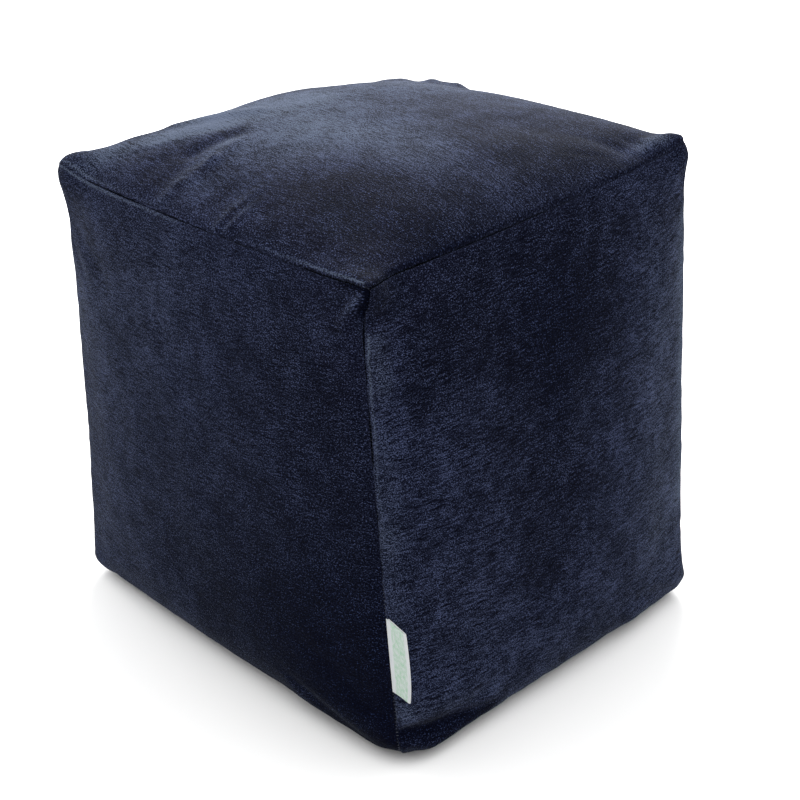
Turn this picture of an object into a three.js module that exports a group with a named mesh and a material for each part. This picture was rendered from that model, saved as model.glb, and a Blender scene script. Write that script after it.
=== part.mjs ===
// Cube pouf: a filled fabric cube of about 43 cm, sewn from six panels, with a folded tape
// label in its front right seam. Millimetres, +Z up. The origin is on the floor, under the
// middle of the pouf. +X is the pouf's right and -Y its front.
import * as THREE from 'three';
import { mergeVertices } from 'three/addons/utils/BufferGeometryUtils.js';

// Driving dimensions.
const width = 432;
const depth = 420;
const height = 434;
const sheetThickness = 2;
const sheetGap = 0.45; // between a panel and the filling under it
const seamHalfWidth = 1.5; // the seam's ridge, from its crest to its foot
const seamClearance = 0.45; // between the ridge's foot and a panel's edge
const seamProud = 0.8; // how far the crest stands above the panels
const rollRadius = 22; // how high the sides curl under at the base
const rollDepth = 13; // how far the base seam lies inside the walls
const baseLift = 5; // height of the base seam above the floor
const baseFlat = 0.86; // share of the base that lies flat
const cellsAcross = 14; // grid cells across a panel
const labelLength = 75; // along the seam
const labelWidth = 26; // out from the seam
const labelLow = 72; // height of the label's lower end
const labelDroop = 6; // how far its free edge hangs below its sewn edge
const labelCurl = 2.5; // how far its free edge bends back towards the side
const tapeThickness = 0.8;
const tapeSlot = 0.5; // between the tape's two folded layers
const labelGap = 0.7; // between the tape and the seam's crest
const tapeSteps = 6; // grid steps along the tape, and round its fold
const weldDistance = 1e-4;

const halfWidth = width / 2;
const halfDepth = depth / 2;
const centre = new THREE.Vector3(0, 0, height / 2);

// Where three seams meet. side, face and end are -1 or 1: left or right, front or back,
// base or top. x, y and z are the corner's place beyond the true box's corner, and ear is
// how far its tip stands out past the seams that run into it.
const corners = [
  { side: -1, face: -1, end: 1, x: 8, y: 3, z: -3, earX: -6, earY: -4, earZ: 3 },
  { side: 1, face: -1, end: 1, x: -13, y: 2, z: -2, earX: 13, earY: -2, earZ: 4 },
  { side: 1, face: 1, end: 1, x: -24, y: -24, z: 23, earX: 2, earY: 3, earZ: 2 },
  { side: -1, face: 1, end: 1, x: 6, y: 2, z: 5, earX: -4, earY: 4, earZ: 3 },
  { side: -1, face: -1, end: -1, x: 7, y: 11, z: baseLift, earX: -3, earY: -2, earZ: 0 },
  { side: 1, face: -1, end: -1, x: 8, y: 20, z: baseLift, earX: 4, earY: 0, earZ: 0 },
  { side: 1, face: 1, end: -1, x: -8, y: -20, z: baseLift, earX: 2, earY: 2, earZ: 0 },
  { side: -1, face: 1, end: -1, x: 8, y: -8, z: baseLift, earX: -2, earY: 2, earZ: 0 },
];
const earReach = 32;

// How far the middle of each seam bows away from the straight line between its corners.
// along is the seam's direction, and a and b name its side of the other two axes in order.
const seamBows = [
  { along: 'x', a: -1, b: 1, x: 0, y: -4, z: -3 },
  { along: 'x', a: 1, b: 1, x: 0, y: 6, z: 0 },
  { along: 'x', a: -1, b: -1, x: 0, y: -5, z: 0 },
  { along: 'x', a: 1, b: -1, x: 0, y: 8, z: 0 },
  { along: 'y', a: 1, b: 1, x: 6, y: 0, z: 2 },
  { along: 'y', a: -1, b: 1, x: -4, y: 0, z: 2 },
  { along: 'y', a: 1, b: -1, x: 11, y: 0, z: 0 },
  { along: 'y', a: -1, b: -1, x: -8, y: 0, z: 0 },
  { along: 'z', a: -1, b: -1, x: 5, y: 4, z: 0 },
  { along: 'z', a: 1, b: -1, x: -1, y: 1, z: 0 },
  { along: 'z', a: 1, b: 1, x: 0, y: 0, z: 0 },
  { along: 'z', a: -1, b: 1, x: 2, y: -2, z: 0 },
];

// The six panels. at turns a panel's own u and v into a point on the unit cube, with u
// across v pointing out. dome is the crown at the middle, and the powers say how square its
// shoulders are towards low u, high u, low v and high v. rim is how high the cloth rolls up
// beside the seams. The panel that rests on the floor is flat.
const panels = [
  { name: 'panel_top', at: (u, v) => [u, v, 1], dome: 27, uLow: 5, uHigh: 3, vLow: 3, vHigh: 2.6, rim: 10 },
  { name: 'panel_front', at: (u, v) => [u, -1, v], dome: 14, uLow: 3, uHigh: 3, vLow: 4, vHigh: 3, rim: 4 },
  { name: 'panel_right', at: (u, v) => [1, u, v], dome: 13, uLow: 3, uHigh: 3, vLow: 4, vHigh: 3, rim: 4 },
  { name: 'panel_back', at: (u, v) => [-u, 1, v], dome: 15, uLow: 3, uHigh: 3, vLow: 4, vHigh: 3, rim: 4 },
  { name: 'panel_left', at: (u, v) => [-1, -u, v], dome: 15, uLow: 3, uHigh: 3, vLow: 4, vHigh: 3, rim: 4 },
  { name: 'panel_base', at: (u, v) => [v, u, -1], dome: 0, rim: 0, rests: true },
];
const rimPower = 26;

// The main folds and swellings, each along a straight line on one panel. rise is above the
// skin, or below it where it is negative, and reach is how far it spreads.
const folds = [
  { panel: 'panel_top', fromU: -0.24, fromV: -0.72, toU: -0.4, toV: -0.15, rise: 4, reach: 18 },
  { panel: 'panel_top', fromU: -0.5, fromV: -0.66, toU: -0.56, toV: -0.2, rise: -4, reach: 18 },
  { panel: 'panel_top', fromU: 0.45, fromV: 0.35, toU: 0.75, toV: 0.7, rise: -3, reach: 30 },
  { panel: 'panel_front', fromU: 0.93, fromV: 0.92, toU: 0.8, toV: 0.74, rise: 5, reach: 14 },
  { panel: 'panel_front', fromU: -0.9, fromV: 0.8, toU: -0.7, toV: 0.62, rise: -3, reach: 22 },
  { panel: 'panel_right', fromU: -0.75, fromV: -0.88, toU: -0.3, toV: -0.92, rise: 9, reach: 34 },
  { panel: 'panel_right', fromU: -0.97, fromV: -0.8, toU: -0.5, toV: -0.86, rise: -6, reach: 13 },
  { panel: 'panel_right', fromU: -0.3, fromV: 0.75, toU: -0.15, toV: -0.45, rise: -3, reach: 45 },
  { panel: 'panel_back', fromU: -0.9, fromV: 0.85, toU: -0.72, toV: 0.6, rise: -4, reach: 20 },
  { panel: 'panel_back', fromU: 0.5, fromV: -0.9, toU: 0.85, toV: -0.8, rise: -4, reach: 22 },
  { panel: 'panel_left', fromU: 0.88, fromV: 0.82, toU: 0.7, toV: 0.6, rise: -4, reach: 20 },
  { panel: 'panel_left', fromU: -0.55, fromV: -0.88, toU: -0.1, toV: -0.92, rise: 5, reach: 30 },
];

// A crown falls from 1 in the middle to 0 at the seams.
function shoulder(t, low, high) {
  return 1 - Math.abs(t) ** (t < 0 ? low : high);
}

// How high a panel stands above the flat sheet between its seams.
function crownHeight(panel, u, v) {
  const dome = shoulder(u, panel.uLow, panel.uHigh) * shoulder(v, panel.vLow, panel.vHigh);
  const rim = shoulder(u, rimPower, rimPower) * shoulder(v, rimPower, rimPower);
  return panel.dome * dome + panel.rim * rim;
}

// The rise of all of a panel's folds at one point.
function foldHeight(panel, u, v) {
  let rise = 0;
  for (const fold of folds.filter((f) => f.panel === panel.name)) {
    const alongU = (fold.toU - fold.fromU) * halfWidth;
    const alongV = (fold.toV - fold.fromV) * centre.z;
    const fromU = (u - fold.fromU) * halfWidth;
    const fromV = (v - fold.fromV) * centre.z;
    const share = (fromU * alongU + fromV * alongV) / (alongU ** 2 + alongV ** 2);
    const near = Math.min(1, Math.max(0, share));
    const away = Math.hypot(fromU - near * alongU, fromV - near * alongV);
    rise += fold.rise * Math.exp(-((away / fold.reach) ** 2));
  }
  return rise * shoulder(u, rimPower, rimPower) * shoulder(v, rimPower, rimPower);
}

// The corners' places, mixed over the whole cube.
function cornerMix(x, y, z) {
  const place = new THREE.Vector3();
  for (const c of corners) {
    const share = ((1 + c.side * x) * (1 + c.face * y) * (1 + c.end * z)) / 8;
    const away = Math.hypot(
      (1 - c.side * x) * halfWidth, (1 - c.face * y) * halfDepth, (1 - c.end * z) * centre.z);
    const ear = Math.exp(-((away / earReach) ** 2));
    place.x += share * (c.side * halfWidth + c.x) + ear * c.earX;
    place.y += share * (c.face * halfDepth + c.y) + ear * c.earY;
    place.z += share * ((1 + c.end) * centre.z + c.z) + ear * c.earZ;
  }
  return place;
}

// The seams' bows, fading across the panels on both sides.
function addBows(place, x, y, z) {
  const at = { x, y, z };
  for (const bow of seamBows) {
    const [first, second] = ['x', 'y', 'z'].filter((axis) => axis !== bow.along);
    const middle = 1 - at[bow.along] ** 2;
    const near = ((1 + bow.a * at[first]) * (1 + bow.b * at[second])) / 4;
    place.addScaledVector(new THREE.Vector3(bow.x, bow.y, bow.z), middle * near);
  }
}

// The sides come down past the base seam's line and curl in under the pouf to meet it.
function addRoll(place, x, y, z) {
  const level = (1 + z) / 2;
  const left = Math.max(0, 1 - (level * height) / rollRadius);
  const out = rollDepth * (Math.sqrt(1 - left * left) - level);
  place.x += out * x;
  place.y += out * y;
}

// A point of the outer skin, for a panel's own u and v.
function skinPoint(panel, u, v) {
  const [x, y, z] = panel.at(u, v);
  const place = cornerMix(x, y, z);
  addBows(place, x, y, z);
  addRoll(place, x, y, z);
  if (panel.rests) {
    const rim = Math.max(0, Math.max(Math.abs(u), Math.abs(v)) - baseFlat) / (1 - baseFlat);
    return place.setZ(baseLift * rim * rim);
  }
  const outward = new THREE.Vector3(...panel.at(0, 0));
  return place.addScaledVector(outward, crownHeight(panel, u, v) + foldHeight(panel, u, v));
}

// Every layer is the skin drawn in towards the pouf's centre, so that layers never cross.
function layerPoint(panel, u, v, inset) {
  const place = skinPoint(panel, u, v).sub(centre);
  return place.multiplyScalar(1 - inset / centre.z).add(centre);
}

// Grid lines across a panel, closer together towards the seams. ends are the first lines.
function gridLines(ends) {
  const inner = [];
  for (let i = 1; i < cellsAcross; i += 1) inner.push(Math.sin((i / cellsAcross - 0.5) * Math.PI));
  return [...ends.map((e) => -e), ...inner, ...ends.slice().reverse()];
}

// Adds a grid of points to a list and returns the row length.
function pushGrid(points, lines, pointAt) {
  for (const v of lines) {
    for (const u of lines) points.push(pointAt(u, v));
  }
  return lines.length;
}

function pushQuad(faces, a, b, c, d) {
  faces.push(a, b, c, a, c, d);
}

function meshOf(name, points, faces, material) {
  const geometry = new THREE.BufferGeometry();
  geometry.setFromPoints(points);
  geometry.setIndex(faces);
  const welded = mergeVertices(geometry, weldDistance);
  welded.computeVertexNormals();
  const mesh = new THREE.Mesh(welded, material);
  mesh.name = name;
  return mesh;
}

// The filling: one closed solid under all six panels, with a thin ridge along each seam
// that reaches up between the panels' edges.
function makeBody(material) {
  const foot = 1 - seamHalfWidth / halfWidth;
  const lines = gridLines([1, foot]);
  const points = [];
  const faces = [];
  for (const panel of panels) {
    const start = points.length;
    const row = pushGrid(points, lines, (u, v) => {
      const crest = Math.max(Math.abs(u), Math.abs(v)) === 1;
      return layerPoint(panel, u, v, crest ? -seamProud : sheetThickness + sheetGap);
    });
    for (let j = 0; j < row - 1; j += 1) {
      for (let i = 0; i < row - 1; i += 1) {
        const at = start + j * row + i;
        pushQuad(faces, at, at + 1, at + row + 1, at + row);
      }
    }
  }
  return meshOf('pouf_body', points, faces, material);
}

// A panel: a thin sheet laid on the filling, cut back from the seams by their ridges.
function makePanel(panel, material) {
  const edge = 1 - (seamHalfWidth + seamClearance) / halfWidth;
  const lines = gridLines([edge]);
  const points = [];
  const faces = [];
  const row = pushGrid(points, lines, (u, v) => layerPoint(panel, u, v, 0));
  pushGrid(points, lines, (u, v) => layerPoint(panel, u, v, sheetThickness));
  const under = row * row;
  const last = row - 1;
  for (let j = 0; j < last; j += 1) {
    for (let i = 0; i < last; i += 1) {
      const at = j * row + i;
      pushQuad(faces, at, at + 1, at + row + 1, at + row);
      pushQuad(faces, under + at, under + at + row, under + at + row + 1, under + at + 1);
    }
  }
  for (let i = 0; i < last; i += 1) {
    const rim = [[i, i + 1], [last * row + i + 1, last * row + i],
      [(i + 1) * row, i * row], [i * row + last, (i + 1) * row + last]];
    for (const [a, b] of rim) pushQuad(faces, a, under + a, under + b, b);
  }
  return meshOf(panel.name, points, faces, material);
}

// The label: one tape folded over on itself, a U in section with its fold at the free edge.
// Its two layers' ends meet the crest of the front right seam.
function makeLabel(material) {
  const half = tapeThickness + tapeSlot / 2;
  const bend = labelWidth - half;
  const shape = new THREE.Shape();
  shape.moveTo(0, -half).lineTo(bend, -half).absarc(bend, 0, half, -Math.PI / 2, Math.PI / 2);
  shape.lineTo(0, half).lineTo(0, tapeSlot / 2).lineTo(bend, tapeSlot / 2);
  shape.absarc(bend, 0, tapeSlot / 2, Math.PI / 2, -Math.PI / 2, true).lineTo(0, -tapeSlot / 2);
  const tape = new THREE.ExtrudeGeometry(shape, {
    depth: labelLength, steps: tapeSteps, curveSegments: tapeSteps, bevelEnabled: false,
  });
  tape.deleteAttribute('normal');
  tape.deleteAttribute('uv');
  const front = panels.find((panel) => panel.name === 'panel_front');
  const place = tape.getAttribute('position');
  for (let i = 0; i < place.count; i += 1) {
    const out = place.getX(i) / labelWidth;
    const up = labelLow + place.getZ(i);
    const root = layerPoint(front, 1, up / centre.z - 1, -seamProud);
    place.setXYZ(i, root.x + labelGap + place.getX(i),
      root.y + place.getY(i) + labelCurl * out * out, up - labelDroop * out);
  }
  const welded = mergeVertices(tape, weldDistance);
  welded.computeVertexNormals();
  const mesh = new THREE.Mesh(welded, material);
  mesh.name = 'side_label';
  return mesh;
}

const cloth = { color: 0x232a41, roughness: 0.95, metalness: 0 };
const pouf = new THREE.Group();
pouf.add(makeBody(new THREE.MeshStandardMaterial({ ...cloth, color: 0x171c2e })));
for (const panel of panels) pouf.add(makePanel(panel, new THREE.MeshStandardMaterial(cloth)));
pouf.add(makeLabel(new THREE.MeshStandardMaterial({ color: 0xaec0b4, roughness: 0.7, metalness: 0 })));

export default pouf;
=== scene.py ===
import bpy
import itertools
import math
import numpy as np
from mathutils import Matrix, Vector


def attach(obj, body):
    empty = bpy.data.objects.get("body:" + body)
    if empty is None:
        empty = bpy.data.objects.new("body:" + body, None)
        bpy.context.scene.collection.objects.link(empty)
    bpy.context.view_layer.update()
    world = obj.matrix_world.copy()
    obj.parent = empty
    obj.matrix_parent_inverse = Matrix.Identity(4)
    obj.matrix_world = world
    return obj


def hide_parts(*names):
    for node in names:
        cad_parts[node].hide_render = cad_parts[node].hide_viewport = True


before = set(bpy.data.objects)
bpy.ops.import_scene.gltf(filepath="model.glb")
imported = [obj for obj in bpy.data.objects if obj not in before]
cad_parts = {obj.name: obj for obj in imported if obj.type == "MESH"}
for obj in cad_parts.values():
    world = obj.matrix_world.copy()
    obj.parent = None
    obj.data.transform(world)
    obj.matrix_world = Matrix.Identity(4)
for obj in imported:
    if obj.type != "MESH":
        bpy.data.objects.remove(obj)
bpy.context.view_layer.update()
scene = bpy.context.scene

# --- camera: three-quarter view from the front right, a little above the top seams
shot = {
    "azimuth": 47.3,  # degrees round from the front
    "elevation": 25.7,
    "distance": 1.523,
    "lens": 69.97,
    "sensor": 36.0,
    "aim": (0.010, 0.010, 0.200),
}


def addCamera():
    turn, lift = math.radians(shot["azimuth"]), math.radians(shot["elevation"])
    back = Vector((math.sin(turn) * math.cos(lift), -math.cos(turn) * math.cos(lift), math.sin(lift)))
    data = bpy.data.cameras.new("camera")
    data.lens = shot["lens"]
    data.sensor_width = shot["sensor"]
    camera = bpy.data.objects.new("camera", data)
    camera.location = Vector(shot["aim"]) + back * shot["distance"]
    camera.rotation_mode = "QUATERNION"
    camera.rotation_quaternion = (-back).to_track_quat("-Z", "Y")
    scene.collection.objects.link(camera)
    scene.camera = camera


addCamera()
print("camera placed")

# --- the cover's shape, in metres
cover = {
    "halfWidth": 0.216,
    "halfDepth": 0.210,
    "halfHeight": 0.217,
    "rimPower": 26,
    "bluntReach": 0.022,
    "foldPower": 90,  # folds run nearly up to the seams
    "rollHeight": 0.022,  # how high the sides curl under at the base
    "rollDepth": 0.013,
    "baseFlat": 0.86,
    "cells": 132,  # grid cells across a panel
    "bunching": 0.72,  # how much closer the grid lines stand near the seams
    "sheet": 0.002,
    "sheetEdge": 0.0001,  # from the seam's line to the cloth's edge
}
half = np.array([cover["halfWidth"], cover["halfDepth"], cover["halfHeight"]])
centre = np.array([0.0, 0.0, cover["halfHeight"]])

# A corner's ear: how far its tip stands out past the seams that run into it, over what reach,
# how far the sewn corner lies from the filling's own corner, and how much its point is blunted.
ears = {
    (-1, -1, 1): {"tip": (-0.010, -0.004, 0.009), "reach": 0.026,
                  "trim": (-0.002, -0.004, 0.005), "blunt": 0.004},
    (1, -1, 1): {"tip": (0.014, -0.002, 0.004), "reach": 0.022,
                 "trim": (0.002, -0.002, 0.001), "blunt": 0.001},
    (1, 1, 1): {"tip": (0.007, 0.006, 0.009), "reach": 0.018,
                "trim": (0.006, 0.005, 0.011), "blunt": 0.008},
    (-1, 1, 1): {"tip": (-0.002, 0.002, 0.001), "reach": 0.018,
                 "trim": (-0.004, 0.004, -0.003), "blunt": 0.003},
    (-1, -1, -1): {"tip": (0.004, -0.004, 0.0), "reach": 0.026,
                   "trim": (0.014, -0.007, 0.000), "blunt": 0.003},
    (1, -1, -1): {"tip": (-0.002, 0.002, 0.001), "reach": 0.020,
                  "trim": (-0.0005, 0.001, 0.000), "blunt": 0.003},
    (1, 1, -1): {"tip": (0.002, 0.002, 0.0), "reach": 0.032,
                 "trim": (0.008, -0.004, 0.000), "blunt": 0.002},
    (-1, 1, -1): {"tip": (-0.002, 0.002, 0.0), "reach": 0.032,
                  "trim": (-0.002, 0.002, 0.000), "blunt": 0.002},
}

# How far a seam's middle bows from a straight line: its direction, its sides, the bow.
bows = [
    (0, (-1, 1), (0.0, -0.004, -0.0015)),
    (0, (1, 1), (0.0, 0.006, 0.003)),
    (0, (-1, -1), (0.0, -0.0030, 0.0)),
    (0, (1, -1), (0.0, 0.008, 0.0)),
    (1, (1, 1), (0.006, 0.0, -0.001)),
    (1, (-1, 1), (-0.004, 0.0, 0.006)),
    (1, (1, -1), (0.008, 0.0, 0.0)),
    (1, (-1, -1), (-0.008, 0.0, 0.0)),
    (2, (-1, -1), (0.004, 0.002, 0.0)),
    (2, (1, -1), (-0.004, 0.0015, 0.0)),
    (2, (-1, 1), (0.002, -0.002, 0.0)),
]

# Each panel's own u and v directions, its outward one, its crown, and how rubbed its pile is.
sidePowers = (3, 3, 4, 3)
panels = {
    "top": {"u": (1, 0, 0), "v": (0, 1, 0), "out": (0, 0, 1), "dome": 0.029, "rim": 0.006,
            "powers": (5, 3, 3, 2.6), "rub": 1.4},
    "front": {"u": (1, 0, 0), "v": (0, 0, 1), "out": (0, -1, 0), "dome": 0.014, "rim": 0.004,
              "powers": sidePowers, "rub": 1.1},
    "right": {"u": (0, 1, 0), "v": (0, 0, 1), "out": (1, 0, 0), "dome": 0.013, "rim": 0.004,
              "powers": sidePowers, "rub": 1.5},
    "back": {"u": (-1, 0, 0), "v": (0, 0, 1), "out": (0, 1, 0), "dome": 0.015, "rim": 0.004,
             "powers": sidePowers, "rub": 1.4},
    "left": {"u": (0, -1, 0), "v": (0, 0, 1), "out": (-1, 0, 0), "dome": 0.015, "rim": 0.004,
             "powers": sidePowers, "rub": 1.4},
    "base": {"u": (0, 1, 0), "v": (1, 0, 0), "out": (0, 0, -1), "dome": 0.0, "rim": 0.0,
             "powers": sidePowers, "rub": 0.8},
}

# Folds and swellings: from (u, v) to (u, v), rise above the skin, and reach.
folds = {
    "top": [
        ((-0.250, -0.87), (-0.255, -0.70), (0.0010, 0.0028), 0.0060),
        ((-0.255, -0.70), (-0.315, -0.50), (0.0028, 0.0008), 0.0060),
        ((-0.34, -0.92), (-0.38, -0.72), (-0.0010, -0.0022), 0.0120),
        ((-0.42, -0.68), (-0.38, -0.48), (-0.0032, -0.0022), 0.0100),
        ((-0.80, -0.52), (-0.54, -0.25), 0.0030, 0.0120),
        ((-0.46, -0.82), (-0.50, -0.70), -0.0025, 0.020),
        ((0.145, -0.99), (0.130, -0.76), (0.0022, 0.0006), 0.0045),
        ((0.215, -0.98), (0.205, -0.80), (0.0022, 0.0006), 0.0045),
        ((-0.265, -0.97), (-0.27, -0.865), 0.0015, 0.0050),
        ((0.45, 0.35), (0.75, 0.70), -0.0030, 0.030),
        ((-0.90, -0.90), (-0.90, -0.72), 0.0045, 0.024),
        ((-0.90, -0.42), (-0.90, -0.26), -0.0045, 0.022),
        ((-0.90, 0.15), (-0.90, 0.40), 0.0020, 0.030),
        ((-0.86, 0.45), (-0.60, 0.90), -0.0070, 0.045),
        ((-0.66, 0.95), (-0.50, 0.95), 0.0085, 0.016),
        ((0.95, 0.82), (0.96, 0.90), 0.0050, 0.016),
        ((1.00, 0.60), (0.99, 0.92), -0.0020, 0.006),
        ((0.87, 0.66), (0.88, 0.74), -0.0035, 0.018),
    ],
    "front": [
        ((0.985, 0.985), (0.920, 0.850), (0.0060, 0.0030), 0.0055),
        ((0.993, 0.975), (0.990, 0.905), -0.0060, 0.0050),
        ((-0.90, 0.80), (-0.70, 0.62), -0.0030, 0.022),
        ((0.50, -0.90), (0.92, -0.86), 0.0030, 0.018),
    ],
    "right": [
        ((-0.96, -0.77), (-0.50, -0.85), (0.0050, 0.0030), 0.016),
        ((-1.00, -0.845), (-0.50, -0.915), (-0.0070, -0.0025), 0.0075),
        ((-0.86, -0.960), (-0.45, -0.975), (0.0070, 0.0020), 0.014),
        ((-0.30, 0.75), (-0.15, -0.45), -0.0030, 0.045),
        ((0.55, -0.92), (0.92, -0.88), 0.0040, 0.024),
    ],
    "back": [
        ((-0.90, 0.85), (-0.72, 0.60), -0.0040, 0.020),
        ((0.50, -0.90), (0.85, -0.80), -0.0040, 0.022),
    ],
    "left": [
        ((0.88, 0.82), (0.70, 0.60), -0.0040, 0.020),
        ((-0.55, -0.88), (-0.10, -0.92), 0.0050, 0.030),
    ],
    "base": [],
}


def meshPoints(mesh):
    points = np.empty(len(mesh.vertices) * 3)
    mesh.vertices.foreach_get("co", points)
    return points.reshape(-1, 3)


# The corner tips come from the frame: the filled body's at the top, the base panel's below.
def sewnCorners():
    body = meshPoints(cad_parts["pouf_body"].data)
    base = meshPoints(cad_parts["panel_base"].data)
    corners = {}
    for key, ear in ears.items():
        points = body if key[2] > 0 else base
        tip = points[np.argmax((points - centre) @ np.array(key))]
        corners[key] = tip - np.array(ear["tip"]) + np.array(ear["trim"])
    return corners


seamCorners = sewnCorners()


def shoulder(t, low, high):
    return 1 - np.abs(t) ** np.where(t < 0, low, high)


def axis(name, part):
    return np.array(panels[name][part], dtype=float)


def cubePoints(name, u, v):
    return u[..., None] * axis(name, "u") + v[..., None] * axis(name, "v") + axis(name, "out")


# The corners' places, mixed over the whole cube, with the ears at their tips.
def cornerMix(cube):
    place = np.zeros(cube.shape)
    for key, corner in seamCorners.items():
        sign = np.array(key)
        share = np.prod((1 + sign * cube) / 2, axis=-1)
        away = np.linalg.norm((1 - sign * cube) * half, axis=-1)
        ear = np.exp(-((away / ears[key]["reach"]) ** 2))
        place += share[..., None] * corner + ear[..., None] * np.array(ears[key]["tip"])
        dull = ears[key]["blunt"] * np.maximum(0, 1 - away / cover["bluntReach"]) ** 2
        place -= dull[..., None] * sign * np.array([1, 1, 1 if key[2] > 0 else 0])
    return place


def addBows(place, cube):
    for along, sides, bow in bows:
        first, second = [k for k in range(3) if k != along]
        near = (1 + sides[0] * cube[..., first]) * (1 + sides[1] * cube[..., second]) / 4
        place += ((1 - cube[..., along] ** 2) * near)[..., None] * np.array(bow)
    return place


# The sides come down past the base seam's line and curl in under the pouf to meet it.
def addRoll(place, cube):
    level = (1 + cube[..., 2]) / 2
    left = np.maximum(0, 1 - level * 2 * cover["halfHeight"] / cover["rollHeight"])
    out = cover["rollDepth"] * (np.sqrt(1 - left * left) - level)
    place[..., 0] += out * cube[..., 0]
    place[..., 1] += out * cube[..., 1]
    return place


# Half a panel's width and height.
def panelSpan(name):
    return np.abs(axis(name, "u")) @ half, np.abs(axis(name, "v")) @ half


def edgeFade(u, v, power):
    return shoulder(u, power, power) * shoulder(v, power, power)


# A sum of soft spots drawn out along lines on a panel. A pair of heights runs from one
# to the other.
def patches(name, u, v, rows):
    spanU, spanV = panelSpan(name)
    total = np.zeros(u.shape)
    for start, end, height, reach in rows:
        alongU, alongV = (end[0] - start[0]) * spanU, (end[1] - start[1]) * spanV
        fromU, fromV = (u - start[0]) * spanU, (v - start[1]) * spanV
        share = np.clip((fromU * alongU + fromV * alongV) / (alongU ** 2 + alongV ** 2), 0, 1)
        away = np.hypot(fromU - share * alongU, fromV - share * alongV)
        total += np.interp(share, (0, 1), np.broadcast_to(height, 2)) * np.exp(-((away / reach) ** 2))
    return total


def foldRise(name, u, v):
    return patches(name, u, v, folds[name]) * edgeFade(u, v, cover["foldPower"])


# A point of the outer skin, before the cloth's own small forms.
def skin(name, u, v):
    panel = panels[name]
    cube = cubePoints(name, u, v)
    place = addRoll(addBows(cornerMix(cube), cube), cube)
    if name == "base":
        rim = np.maximum(0, np.maximum(np.abs(u), np.abs(v)) - cover["baseFlat"])
        edge = seamCorners[(1, 1, -1)][2]
        place[..., 2] = edge * (rim / (1 - cover["baseFlat"])) ** 2
        return place
    lowU, highU, lowV, highV = panel["powers"]
    dome = panel["dome"] * shoulder(u, lowU, highU) * shoulder(v, lowV, highV)
    rise = dome + panel["rim"] * edgeFade(u, v, cover["rimPower"]) + foldRise(name, u, v)
    return place + rise[..., None] * axis(name, "out")


# Grid lines across a panel, bunched towards the seams.
def gridLines(cells, end=1.0):
    even = np.linspace(-1, 1, cells + 1)
    bunched = (1 - cover["bunching"]) * even + cover["bunching"] * np.sin(even * math.pi / 2)
    return bunched * end


def makeObject(name, points, quads, smooth=True):
    mesh = bpy.data.meshes.new(name)
    mesh.from_pydata(points.tolist(), [], quads.tolist())
    if smooth:
        mesh.shade_smooth()
    made = bpy.data.objects.new(name, mesh)
    scene.collection.objects.link(made)
    return made


def gridQuads(row):
    i, j = np.meshgrid(np.arange(row - 1), np.arange(row - 1))
    at = (j * row + i).ravel()
    return np.stack([at, at + 1, at + row + 1, at + row], axis=1)


# The six panels as one welded box, each point numbered once.
def weldedBox(cells):
    i, j = np.meshgrid(np.arange(cells + 1), np.arange(cells + 1))
    numbers = {}
    for name in panels:
        spread = (2 * i - cells)[..., None] * axis(name, "u")
        spread = spread + (2 * j - cells)[..., None] * axis(name, "v")
        lattice = ((spread + cells * axis(name, "out") + cells) / 2).round().astype(int)
        numbers[name] = lattice @ np.array([1, cells + 1, (cells + 1) ** 2])
    every = np.concatenate([numbers[name].ravel() for name in panels])
    used, flat = np.unique(every, return_inverse=True)
    size = (cells + 1) ** 2
    welded = {name: flat[k * size:(k + 1) * size].reshape(i.shape) for k, name in enumerate(panels)}
    return welded, len(used)


# --- settling: flat-cut panels, sewn up and filled. Where the cut has cloth to spare it buckles.
settle = {
    "cells": 64,
    "pressure": 4.0,
    "frames": 20,
    "limit": 0.006,  # how far a point may move
    "ease": 0.014,  # how much larger the cut is than the space between the seams
    "steps": 6,  # solver steps in a frame
    "mass": 0.3,
    "stretch": 30.0,
    "shear": 10.0,
    "bending": 0.3,
    "faceHold": 0.10,  # how firmly the filling backs the cloth
}


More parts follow.
